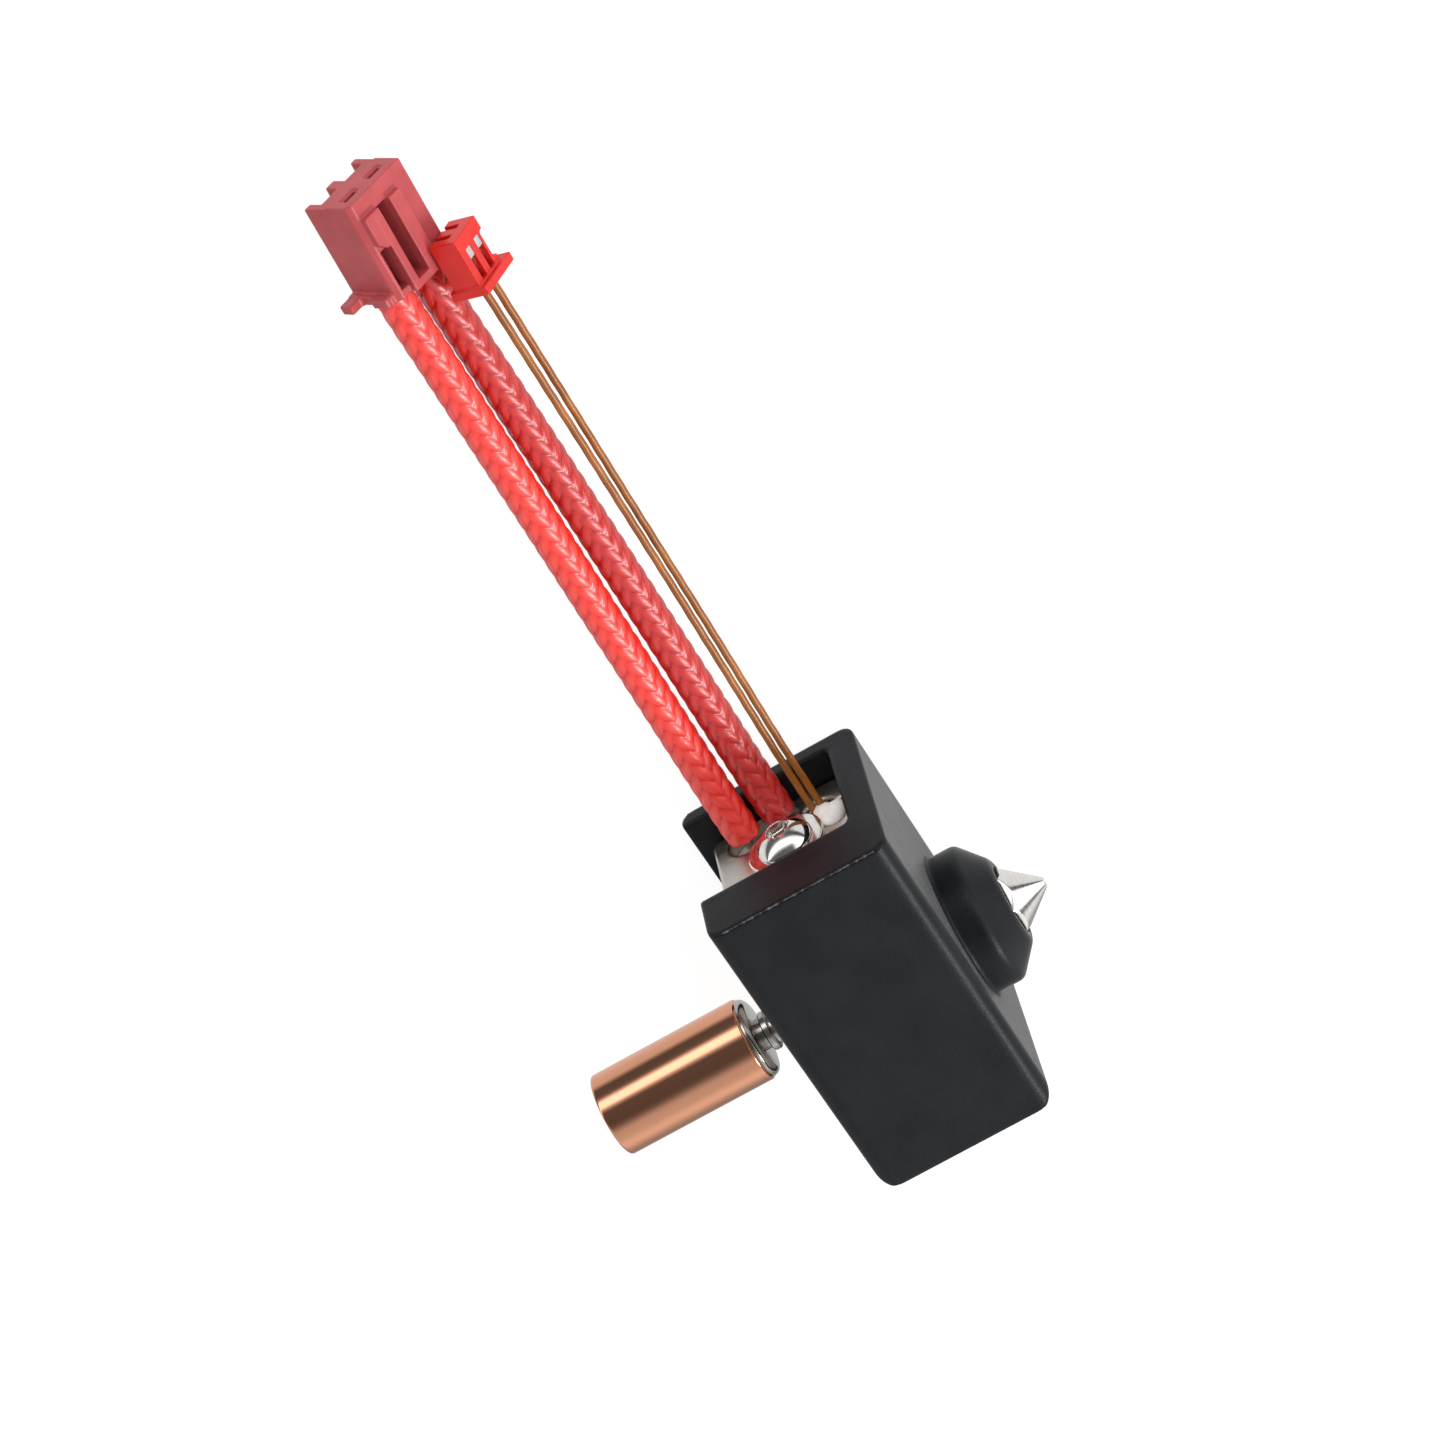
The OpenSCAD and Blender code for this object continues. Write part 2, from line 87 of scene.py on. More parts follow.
class Shader:
    """A Principled material whose nodes are added by short calls."""

    def __init__(self, name, colour, roughness, **values):
        self.material = bpy.data.materials.new(name)
        self.material.use_nodes = True
        self.tree = self.material.node_tree
        self.principled = self.tree.nodes["Principled BSDF"]
        self.put("Base Color", (*colour, 1))
        self.put("Roughness", roughness)
        for socket, value in values.items():
            self.put(socket.replace("_", " "), value)
        self.place = self.node("ShaderNodeTexCoord").outputs["Object"]

    def put(self, socket, value):
        self.principled.inputs[socket].default_value = value

    def node(self, kind, inputs=(), **settings):
        made = self.tree.nodes.new(kind)
        for key, value in settings.items():
            setattr(made, key, value)
        for socket, value in dict(inputs).items():
            if isinstance(value, bpy.types.NodeSocket):
                self.tree.links.new(value, made.inputs[socket])
            else:
                made.inputs[socket].default_value = value
        return made

    def stretched(self, scale):
        """Object coordinates scaled by three factors, for grain that runs one way."""
        return self.node("ShaderNodeMapping", {"Vector": self.place, "Scale": scale}).outputs[0]

    def noise(self, scale, detail=4.0, vector=None):
        values = {"Vector": vector or self.place, "Scale": scale, "Detail": detail}
        return self.node("ShaderNodeTexNoise", values).outputs["Fac"]

    def attribute(self, name):
        return self.node("ShaderNodeAttribute", attribute_name=name).outputs["Fac"]

    def ramp(self, fac, stops):
        made = self.node("ShaderNodeValToRGB", {"Fac": fac})
        while len(made.color_ramp.elements) < len(stops):
            made.color_ramp.elements.new(0.5)
        for element, (at, colour) in zip(made.color_ramp.elements, stops):
            element.position = at
            element.color = (*colour, 1)
        return made.outputs["Color"]

    def spread(self, fac, low, high):
        """fac from 0 to 1 as a number from low to high."""
        return self.node("ShaderNodeMapRange", {"Value": fac, "To Min": low, "To Max": high}).outputs[0]

    def colour(self, socket):
        self.tree.links.new(socket, self.principled.inputs["Base Color"])

    def roughness(self, socket):
        self.tree.links.new(socket, self.principled.inputs["Roughness"])

    def bump(self, *layers):
        """Bump from pairs of height and depth in metres, each on top of the one before."""
        normal = None
        for height, depth in layers:
            values = {"Height": height, "Distance": depth}
            if normal is not None:
                values["Normal"] = normal
            normal = self.node("ShaderNodeBump", values).outputs["Normal"]
        self.tree.links.new(normal, self.principled.inputs["Normal"])


def silicone_material():
    shader = Shader("silicone", (0.008, 0.009, 0.011), 0.44, Specular_IOR_Level=0.22, Sheen_Weight=0.4,
                    Sheen_Roughness=0.2)
    cloud = shader.noise(260, 3)
    grain = shader.noise(5200, 3)
    shader.colour(shader.ramp(cloud, [(0.3, (0.003, 0.004, 0.0055)), (0.7, (0.007, 0.008, 0.010))]))
    shader.roughness(shader.spread(grain, 0.36, 0.52))
    shader.bump((cloud, 0.00005), (grain, 0.00002))
    return shader.material


def metal_material(name, dark, light, roughness, grain_scale=(900, 900, 900), bump=0.000004):
    """Metal with fine machining grain; the grain runs along the axis with the low scale."""
    shader = Shader(name, light, roughness, Metallic=1.0)
    grain = shader.noise(1.0, 5, shader.stretched(grain_scale))
    shader.colour(shader.ramp(grain, [(0.3, dark), (0.7, light)]))
    shader.roughness(shader.spread(grain, roughness * 0.75, roughness * 1.25))
    shader.bump((grain, bump))
    return shader.material


def braid_material(name, shaded_crevice, body, tip):
    shader = Shader(name, body, 0.4, Specular_IOR_Level=0.6, Coat_Weight=0.4, Coat_Roughness=0.2)
    yarn = shader.noise(2600, 3)
    height = shader.attribute("height")
    # The colour runs by the braid's height, from painted shade in the crevices, through the yarn's own red,
    # to a painted highlight on the crowns.
    shader.colour(shader.ramp(height, [(0.0, shaded_crevice), (0.45, body), (1.0, tip)]))
    shader.roughness(shader.spread(yarn, 0.3, 0.5))
    shader.bump((yarn, 0.00002))
    return shader.material


def nylon_material(name, dark, light, roughness):
    shader = Shader(name, light, roughness, Specular_IOR_Level=0.45, Subsurface_Weight=0.04,
                    Subsurface_Radius=(0.9, 0.25, 0.2), Subsurface_Scale=0.0006)
    cloud = shader.noise(420, 3)
    grain = shader.noise(6000, 2)
    shader.colour(shader.ramp(cloud, [(0.3, dark), (0.7, light)]))
    shader.roughness(shader.spread(grain, roughness * 0.85, roughness * 1.2))
    shader.bump((grain, 0.00001))
    return shader.material


def enamel_material():
    shader = Shader("enamel", (0.30, 0.11, 0.022), 0.34, Specular_IOR_Level=0.35, Coat_Weight=0.1,
                    Coat_Roughness=0.2)
    patch = shader.noise(300, 3)
    shader.colour(shader.ramp(patch, [(0.3, (0.21, 0.062, 0.007)), (0.7, (0.33, 0.110, 0.018))]))
    shader.roughness(shader.spread(patch, 0.28, 0.4))
    return shader.material


def ceramic_material():
    shader = Shader("ceramic", (0.84, 0.82, 0.77), 0.5)
    chalk = shader.noise(1500, 5)
    shader.colour(shader.ramp(chalk, [(0.3, (0.82, 0.80, 0.76)), (0.7, (0.93, 0.92, 0.90))]))
    shader.roughness(shader.spread(chalk, 0.45, 0.7))
    shader.bump((chalk, 0.00004))
    return shader.material


SILICONE = silicone_material()
BLOCK_NICKEL = metal_material(
    "block_nickel", (0.62, 0.58, 0.52), (0.74, 0.70, 0.64), 0.36, (1500, 1500, 2600))
BRIGHT_NICKEL = metal_material(
    "bright_nickel", (0.74, 0.72, 0.69), (0.88, 0.86, 0.83), 0.11, (1200,) * 3)
NOZZLE_NICKEL = metal_material(
    "nozzle_nickel", (0.80, 0.77, 0.73), (0.92, 0.90, 0.87), 0.13, (900, 5000, 900))
COPPER = metal_material(
    "copper", (0.76, 0.355, 0.215), (0.81, 0.39, 0.24), 0.1, (900, 60, 900), 0.000001)
STEEL = metal_material("steel", (0.36, 0.34, 0.32), (0.52, 0.50, 0.48), 0.16, (900, 6000, 900))
TINNED = metal_material("tinned", (0.66, 0.65, 0.64), (0.88, 0.88, 0.88), 0.2, (1500,) * 3)
# Lit and shaded copies of one red braid: the right lead's darker copy is painted shade on that lead.
BRAID_LIT = braid_material(
    "braid_lit", (0.34, 0.005, 0.004), (0.74, 0.020, 0.014), (0.86, 0.065, 0.045))
BRAID_SHADED = braid_material(
    "braid_shaded", (0.18, 0.003, 0.003), (0.46, 0.010, 0.009), (0.60, 0.036, 0.030))
PLUG_RED = nylon_material("plug_red", (0.37, 0.048, 0.054), (0.44, 0.062, 0.067), 0.42)
MINI_RED = nylon_material("mini_red", (0.52, 0.010, 0.006), (0.64, 0.016, 0.010), 0.36)
ENAMEL = enamel_material()
CERAMIC = ceramic_material()


# ---------------------------------------------------------------- mesh tools

def piece(name, points, faces, material, body, replaced):
    """A smooth-shaded mesh from points in mm, standing for the CAD nodes in replaced."""
    mesh = bpy.data.meshes.new(name)
    mesh.from_pydata((np.asarray(points, float) * MM).tolist(), [], [list(f) for f in faces])
    mesh.update()
    mesh.shade_smooth()
    mesh.materials.append(material)
    made = bpy.data.objects.new(name, mesh)
    bpy.context.scene.collection.objects.link(made)
    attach(made, body)
    if replaced:
        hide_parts(*replaced)
    return made


def soft_min(a, b, k):
    """The lower of two fields, with the seam between them rounded over about k mm."""
    if k == 0:
        return np.minimum(a, b)
    h = np.maximum(k - np.abs(a - b), 0) / k
    return np.minimum(a, b) - h * h * k / 4


def join(*fields, k=0.0):
    total = fields[0]
    for field in fields[1:]:
        total = soft_min(total, field, k)
    return total


def common(*fields, k=0.0):
    return -join(*[-field for field in fields], k=k)


def cut(field, *holes, k=0.0):
    return common(field, *[-hole for hole in holes], k=k)


def box_field(p, low, high, r=0.0):
    """Distance to a box whose edges are rounded to r; None leaves that side open."""
    far = 1000.0
    gaps = []
    for axis, (a, b) in enumerate(zip(low, high)):
        a = -far if a is None else a
        b = far if b is None else b
        gaps.append(np.abs(p[axis] - (a + b) / 2) - (b - a) / 2 + r)
    outside = np.sqrt(sum(np.maximum(g, 0) ** 2 for g in gaps))
    return outside + np.minimum(np.maximum.reduce(gaps), 0) - r


def radius_from(p, axis, centre):
    """Distance from the line along axis through centre, the two other coordinates in order."""
    a, b = [i for i in range(3) if i != axis]
    return np.hypot(p[a] - centre[0], p[b] - centre[1])


def rod_field(p, axis, centre, radius, low, high, r=0.0):
    """Distance to a cylinder along axis from low to high, with rims rounded to r."""
    side = radius_from(p, axis, centre) - radius + r
    end = np.abs(p[axis] - (low + high) / 2) - (high - low) / 2 + r
    outside = np.sqrt(np.maximum(side, 0) ** 2 + np.maximum(end, 0) ** 2)
    return outside + np.minimum(np.maximum(side, end), 0) - r


def cone_field(p, axis, centre, low, r_low, high, r_high):
    """Distance to an endless cone with the given radii at low and high."""
    slope = (r_high - r_low) / (high - low)
    wall = r_low + slope * (p[axis] - low)
    return (radius_from(p, axis, centre) - wall) / math.hypot(1, slope)


CELL_CORNERS = [(i, j, k) for i in (0, 1) for j in (0, 1) for k in (0, 1)]
CELL_EDGES = [(a, b) for a in CELL_CORNERS for b in CELL_CORNERS
              if sum(b) == sum(a) + 1 and sum(x != y for x, y in zip(a, b)) == 1]


def surface(field, low, high, step):
    """Points and quads over the zero level of field, a function of three arrays in mm."""
    low = np.array(low, float) - 2 * step
    size = np.ceil((np.array(high, float) + 2 * step - low) / step).astype(int) + 1
    axes = [low[i] + step * np.arange(size[i]) for i in range(3)]
    values = field(np.meshgrid(*axes, indexing="ij"))

    def corner(c):
        return values[tuple(slice(o, n - 1 + o) for o, n in zip(c, size))]

    total = np.zeros((3, *(size - 1)))
    count = np.zeros(tuple(size - 1))
    for a, b in CELL_EDGES:
        va, vb = corner(a), corner(b)
        crossed = (va < 0) != (vb < 0)
        share = np.where(crossed, va / np.where(crossed, va - vb, 1), 0)
        for axis in range(3):
            total[axis] += crossed * (a[axis] + (b[axis] - a[axis]) * share)
        count += crossed
    used = count > 0
    number = np.full(used.shape, -1)
    number[used] = np.arange(used.sum())
    cells = np.stack(np.nonzero(used))
    points = low[:, None] + step * (cells + total[:, used] / count[used])

    quads = []
    for axis in range(3):
        u, v = (axis + 1) % 3, (axis + 2) % 3
        first = [slice(1, n - 1) for n in size]
        first[axis] = slice(0, size[axis] - 1)
        second = list(first)
        second[axis] = slice(1, size[axis])
        inner = values[tuple(first)] < 0
        outer = values[tuple(second)] < 0
        at = np.stack(np.nonzero(inner != outer))
        base = at + np.array([[s.start] for s in first])
        around = []
        for du, dv in ((1, 1), (0, 1), (0, 0), (1, 0)):
            cell = base.copy()
            cell[u] -= du
            cell[v] -= dv
            around.append(number[tuple(cell)])
        ring = np.stack(around, axis=1)
        leaving = inner[tuple(at)]
        quads.append(np.where(leaving[:, None], ring, ring[:, ::-1]))

    nudge = step * 0.05
    for _ in range(2):
        slopes = []
        for axis in range(3):
            shift = nudge * np.eye(3)[:, [axis]]
            slopes.append((field(points + shift) - field(points - shift)) / (2 * nudge))
        slope = np.stack(slopes)
        move = field(points) * slope / np.maximum((slope ** 2).sum(0), 0.25)
        points = points - np.clip(move, -0.5 * step, 0.5 * step)
    return points.T, np.concatenate(quads)


def lathe(profile, axis_at, sides=160):
    """Points and faces of a closed outline of (along Y, radius) turned about the filament axis."""
    angles = np.arange(sides) * 2 * math.pi / sides
    points = [(axis_at[0] + r * math.cos(a), y, axis_at[1] + r * math.sin(a))
              for y, r in profile for a in angles]
    rows = len(profile)
    faces = [(i * sides + k, (i + 1) % rows * sides + k, (i + 1) % rows * sides + (k + 1) % sides,
              i * sides + (k + 1) % sides) for i in range(rows) for k in range(sides)]
    return points, faces


def arc(centre, radius, start, stop, steps=6):
    """Points on an arc in the (along, radius) plane, angles in degrees."""
    return [(centre[0] + radius * math.cos(math.radians(a)), centre[1] + radius * math.sin(math.radians(a)))
            for a in np.linspace(start, stop, steps)]


def sharpen(made, degrees):
    """Keeps smooth shading, but not over edges that turn by more than this."""
    made.data.set_sharp_from_angle(angle=math.radians(degrees))


# ---------------------------------------------------------------- cords

LEAD_R = 1.65
WIRE_R = 0.35
LEAD_LEFT = [
    (-15.7, -4, 4.3), (-19, -4, 4.3), (-23, -3.96, 4.2), (-27.5, -3.88, 4.12), (-32, -3.77, 4.1),
    (-37, -3.63, 4.16), (-42, -3.5, 4.3), (-47, -3.34, 4.5), (-52, -3.17, 4.77), (-57, -3.01, 5.1),
    (-62, -2.84, 5.5), (-67, -2.67, 5.93), (-71.5, -2.52, 6.31), (-75.5, -2.4, 6.65), (-78.51, -2.26, 6.88)]
LEAD_RIGHT = [
    (-15.7, -0.4, 3.8), (-19, -0.4, 3.8), (-23, -0.37, 3.72), (-27.5, -0.3, 3.61), (-32, -0.22, 3.53),
    (-37, -0.13, 3.5), (-42, -0.05, 3.5), (-47, 0.04, 3.54), (-52, 0.12, 3.62), (-57, 0.2, 3.72),
    (-62, 0.28, 3.85), (-67, 0.36, 3.98), (-71.5, 0.42, 4.09), (-75.5, 0.47, 4.19), (-78.4, 0.51, 4.29)]
WIRE_LEFT = [
    (-14.6, 2.65, 5.6), (-18, 2.65, 5.6), (-22, 2.69, 5.49), (-26.5, 2.78, 5.32), (-31, 2.9, 5.21),
    (-36, 3.03, 5.19), (-41, 3.18, 5.25), (-46, 3.32, 5.38), (-51, 3.46, 5.59), (-56, 3.62, 5.92),
    (-61, 3.78, 6.35), (-65, 3.92, 6.75), (-69, 4.06, 7.16), (-72, 4.16, 7.46), (-75.02, 4.25, 7.72)]
WIRE_RIGHT = [
    (-14.6, 3.45, 5.6), (-18, 3.45, 5.6), (-22, 3.49, 5.46), (-26.5, 3.58, 5.24), (-31, 3.7, 5.05),
    (-36, 3.83, 4.96), (-41, 3.95, 4.94), (-46, 4.07, 4.99), (-51, 4.21, 5.1), (-56, 4.38, 5.3),
    (-61, 4.55, 5.55), (-65, 4.69, 5.8), (-69, 4.83, 6.07), (-72, 4.93, 6.27), (-74.96, 5.03, 6.44)]


def smooth_line(route, spacing):
    """Points about spacing apart on a smooth curve through the route's points."""
    route = np.array(route, float)
    ends = np.vstack([2 * route[0] - route[1], route, 2 * route[-1] - route[-2]])
    line = []
    for a, b, c, d in zip(ends, ends[1:], ends[2:], ends[3:]):
        steps = max(2, round(float(np.linalg.norm(c - b)) / spacing))
        for t in np.arange(steps) / steps:
            line.append(0.5 * (2 * b + (c - a) * t + (2 * a - 5 * b + 4 * c - d) * t ** 2
                               + (3 * b - a - 3 * c + d) * t ** 3))
    return np.array([*line, route[-1]])


def sweep(line, radius, sides):
    """Points and faces of a tube; radius gives a radius from distance along and angle round."""
    along = np.gradient(line, axis=0)
    along /= np.linalg.norm(along, axis=1)[:, None]
    side = np.cross([0, 0, 1], along)
    side /= np.linalg.norm(side, axis=1)[:, None]
    up = np.cross(along, side)
    run = np.concatenate([[0], np.cumsum(np.linalg.norm(np.diff(line, axis=0), axis=1))])
    angle = np.arange(sides) * 2 * math.pi / sides
    r = radius(run[:, None], angle[None, :])
    points = (line[:, None] + r[..., None] * (np.cos(angle)[None, :, None] * side[:, None]
                                              + np.sin(angle)[None, :, None] * up[:, None]))
    rows = len(line)
    faces = [(i * sides + k, i * sides + (k + 1) % sides, (i + 1) * sides + (k + 1) % sides,
              (i + 1) * sides + k) for i in range(rows - 1) for k in range(sides)]
    faces.append(tuple(range(sides))[::-1])
    faces.append(tuple((rows - 1) * sides + k for k in range(sides)))
    return points.reshape(-1, 3), faces, r


BRAID_STRANDS = 8
BRAID_PITCH = 1.75
BRAID_WAVE = 0.06
BRAID_CROWN = 0.09
YARNS = 5
YARN_DEPTH = 0.018


def braid_radius(run, angle):
    """Outer radius of a two-over, two-under braid of flat strands of fine yarns."""
    a = run / BRAID_PITCH + BRAID_STRANDS * angle / (2 * math.pi)
    b = run / BRAID_PITCH - BRAID_STRANDS * angle / (2 * math.pi)
    heights = []
    for own, other, sign in ((a, b, 1), (b, a, -1)):
        strand = np.round(own)
        across = own - strand
        over = np.sin(math.pi / 2 * (strand - other if sign > 0 else other - strand) + math.pi / 4)
        yarns = YARN_DEPTH * np.cos(2 * math.pi * YARNS * across)
        heights.append(sign * BRAID_WAVE * over - BRAID_CROWN * (2 * across) ** 2 + yarns)
    return LEAD_R - BRAID_WAVE - YARN_DEPTH + np.maximum(*heights)


def braided_lead(name, route, material):
    line = smooth_line(route, spacing=0.1)
    points, faces, r = sweep(line, braid_radius, sides=128)
    made = piece(name, points, faces, material, "hot_side", [name.replace("sleeve", "lead")])
    # This height share drives the braid's painted shade in the crevices and painted highlight on the crowns.
    height = made.data.attributes.new("height", "FLOAT", "POINT")
    share = (r - r.min()) / (r.max() - r.min())
    height.data.foreach_set("value", share.ravel().astype(np.float32))
    return made, line


FILM_RIDGE = 0.012
FILM_PITCH = 2.6


def film_radius(run, angle):
    """Outer radius of a wire with film wound round it."""
    return WIRE_R - FILM_RIDGE + FILM_RIDGE * np.cos(2 * math.pi * run / FILM_PITCH - angle)


def film_wire(name, route):
    line = smooth_line(route, spacing=0.4)
    points, faces, _ = sweep(line, film_radius, sides=24)
    made = piece(name, points, faces, ENAMEL, "hot_side", [name.replace("film", "wire")])
    return made, line


# The right lead's braid is painted darker than the left's: painted shade.
heater_left, heater_left_line = braided_lead("heater_sleeve_left", LEAD_LEFT, BRAID_LIT)
heater_right, heater_right_line = braided_lead("heater_sleeve_right", LEAD_RIGHT, BRAID_SHADED)
sensor_left, sensor_left_line = film_wire("thermistor_film_left", WIRE_LEFT)
sensor_right, sensor_right_line = film_wire("thermistor_film_right", WIRE_RIGHT)


# ---------------------------------------------------------------- sock

SOCK_SIDE = -SOCK_LOW[1]
SOCK_WALL = 2.0
LONG_EDGE_R = 1.6
UPRIGHT_EDGE_R = 2.0
END_EDGE_R = 0.35
BOOT_R = 6.7
BOOT_STRAIGHT = 2.6
BOOT_TIP_R = 4.0
BOOT_BORE_R = 3.22
BLOCK_GAP = 0.1
WINDOW_TOP = 14.2
WINDOW_R = 0.7


def sock_field(p):
    centre = (0, AXIS_Z)
    past = 3
    room_top = SOCK_HIGH[2] - SOCK_WALL
    outline = common(
        box_field(p, (None, -SOCK_SIDE, SOCK_LOW[2]), (None, SOCK_SIDE, SOCK_HIGH[2]), LONG_EDGE_R),
        box_field(p, (SOCK_LOW[0] - 4, -SOCK_SIDE, None), (SOCK_HIGH[0], SOCK_SIDE, None), UPRIGHT_EDGE_R),
        box_field(p, (SOCK_LOW[0], None, SOCK_LOW[2]), (SOCK_HIGH[0], None, SOCK_HIGH[2]), END_EDGE_R),
        k=0.25)
    boot = common(rod_field(p, 1, centre, BOOT_R, SOCK_SIDE - 2, SOCK_HIGH[1], 0.25),
                  cone_field(p, 1, centre, SOCK_SIDE + BOOT_STRAIGHT, BOOT_R, SOCK_HIGH[1], BOOT_TIP_R),
                  k=0.35)
    room = box_field(p, (BLOCK_LOW[0] - BLOCK_GAP, None, SOCK_WALL),
                     (BLOCK_HIGH[0] + BLOCK_GAP, BLOCK_HIGH[1] + BLOCK_GAP, room_top), 0.2)
    window = box_field(p, (SOCK_LOW[0] - past, None, SOCK_WALL),
                       (BLOCK_LOW[0] + 2, BLOCK_HIGH[1], WINDOW_TOP), WINDOW_R)
    bore = rod_field(p, 1, centre, BOOT_BORE_R, 0, SOCK_HIGH[1] + past)
    return cut(join(outline, boot, k=0.3), room, window, bore, k=0.3)


points, faces = surface(sock_field, SOCK_LOW, SOCK_HIGH, step=0.25)
piece("sock_skin", points, faces, SILICONE, "sock", ["silicone_sock"])


def flash_radius(run, angle):
    """Ragged thickness of the moulding flash, from a few waves that don't line up."""
    ragged = np.sin(5.1 * run) * np.sin(2.3 * run + 1) + 0.6 * np.sin(11.7 * run + 2) * np.sin(3.7 * run)
    return np.maximum(0.06 + 0.05 * ragged, 0.012) + 0 * angle


def flash_material():
    shader = Shader("flash", (0.08, 0.085, 0.10), 0.5)
    crumb = shader.noise(1800, 4)
    shader.colour(shader.ramp(crumb, [(0.4, (0.012, 0.013, 0.016)), (0.65, (0.07, 0.075, 0.09))]))
    shader.bump((crumb, 0.00006))
    return shader.material


FLASH_INSET = 0.08
flash_y = SOCK_LOW[1] + 1.4
flash_line = [(SOCK_LOW[0] + FLASH_INSET, y, SOCK_HIGH[2] - FLASH_INSET)
              for y in np.linspace(flash_y, -flash_y, 9)]
points, faces, _ = sweep(smooth_line(flash_line, spacing=0.08), flash_radius, sides=10)
piece("sock_flash", points, faces, flash_material(), "sock", [])


# ---------------------------------------------------------------- block and heat break

POCKET_Y, POCKET_Z, POCKET_HALF, POCKET_R = -2.3, 4.25, 1.8, 1.85
SENSOR_Y, SENSOR_Z, SENSOR_R = 3.05, 5.6, 1.52
SCREW_Y, SCREW_Z = -0.6, 8.4


BLOCK_CHAMFER = 0.8
POCKET_LEN, SENSOR_LEN, SCREW_BORE_LEN = 23, 11, 8.5
SLIT_HALF = 0.2


def block_field(p):
    x, y, z = p
    start = BLOCK_LOW[0]
    body = box_field(p, BLOCK_LOW, BLOCK_HIGH, 0.2)
    middle_y = (BLOCK_LOW[1] + BLOCK_HIGH[1]) / 2
    middle_z = (BLOCK_LOW[2] + BLOCK_HIGH[2]) / 2
    half = (BLOCK_HIGH[1] - BLOCK_LOW[1] + BLOCK_HIGH[2] - BLOCK_LOW[2]) / 2 - BLOCK_CHAMFER
    corner = (np.abs(y - middle_y) + np.abs(z - middle_z) - half) / math.sqrt(2)
    across = np.maximum(np.abs(y - POCKET_Y) - POCKET_HALF, 0)
    pocket = np.maximum(np.hypot(across, z - POCKET_Z) - POCKET_R, x - start - POCKET_LEN)
    sensor = rod_field(p, 0, (SENSOR_Y, SENSOR_Z), SENSOR_R, start - 1, start + SENSOR_LEN)
    slit = box_field(p, (start - 1, SENSOR_Y, SENSOR_Z - SLIT_HALF),
                     (start + SENSOR_LEN, BLOCK_HIGH[1] + 3, SENSOR_Z + SLIT_HALF))
    screw = rod_field(p, 0, (SCREW_Y, SCREW_Z), 1.5, start - 1, start + SCREW_BORE_LEN)
    thread = rod_field(p, 1, (0, AXIS_Z), 3.0, BLOCK_LOW[1] - 1, BLOCK_HIGH[1] + 1)
    return cut(common(body, corner, k=0.1), pocket, sensor, slit, screw, thread, k=0.12)


points, faces = surface(block_field, BLOCK_LOW, BLOCK_HIGH, step=0.2)
piece("block_body", points, faces, BLOCK_NICKEL, "hot_side", ["heater_block"])

SLEEVE_R = 4.0
CORE_R = 2.2
rim = 0.3
sleeve_profile = [
    (SLEEVE_LOW[1], CORE_R + 0.15), *arc((SLEEVE_LOW[1] + rim, SLEEVE_R - rim), rim, 180, 90),
    *arc((SLEEVE_HIGH[1] - rim, SLEEVE_R - rim), rim, 90, 0), (SLEEVE_HIGH[1], CORE_R + 0.15),
    (SLEEVE_HIGH[1] - 0.2, CORE_R), (SLEEVE_LOW[1] + 0.2, CORE_R)]
points, faces = lathe(sleeve_profile, (0, AXIS_Z))
sleeve = piece("copper_sleeve", points, faces, COPPER, "hot_side", ["heatbreak_sleeve"])
sharpen(sleeve, 35)

NECK_Y = SLEEVE_HIGH[1]
BORE_R = 1.0
NECK_R = 1.5
COLLAR_R = 1.9
DOME_R = 3.8
DOME_LEN = 0.7
COLLAR_LEN = 0.7
SEAT_R = 3.4
SHANK_R = 2.95
TUBE_END = -0.6


def collar(y, inner, outer, length, bevel=0.12):
    """The outline of a ring with bevelled rims, standing on a shaft."""
    return [(y, inner), (y, outer - bevel), (y + bevel, outer), (y + length - bevel, outer),
            (y + length, outer - bevel), (y + length, inner)]


dome = arc((NECK_Y, DOME_R - DOME_LEN), DOME_LEN, 90, 0, 10)
tube_profile = [
    (SLEEVE_LOW[1], BORE_R), (SLEEVE_LOW[1], CORE_R - 0.02), (NECK_Y, CORE_R - 0.02), *dome,
    (NECK_Y + DOME_LEN, NECK_R),
    *collar(NECK_Y + DOME_LEN + 0.5, NECK_R, COLLAR_R, COLLAR_LEN),
    *collar(NECK_Y + DOME_LEN + 1.8, NECK_R, COLLAR_R, COLLAR_LEN),
    *collar(BLOCK_LOW[1] - 0.6, NECK_R, SEAT_R, 0.6), (BLOCK_LOW[1], SHANK_R), (TUBE_END - 0.3, SHANK_R),
    (TUBE_END, SHANK_R - 0.3), (TUBE_END, BORE_R)]
points, faces = lathe(tube_profile, (0, AXIS_Z))
tube = piece("steel_heat_break", points, faces, STEEL, "hot_side", ["heatbreak_tube"])
sharpen(tube, 30)


# ---------------------------------------------------------------- nozzle

HEX_FLAT = 2.75
CONE_LEN = 3.2
CONE_R = 3.05
TIP_R = 0.45
ORIFICE_R = 0.2
LAND = 0.8
THROAT_LEN = 1.8
# The way that the hexagon is turned
HEX_SIDES = np.radians([17, 77, 137])


def hexagon_field(p, centre, flat, axes):
    """Distance to an endless six-sided bar, given half its width across flats."""
    u, v = p[axes[0]] - centre[0], p[axes[1]] - centre[1]
    sides = [np.abs(u * math.cos(a) + v * math.sin(a)) for a in HEX_SIDES]
    return np.maximum.reduce(sides) - flat


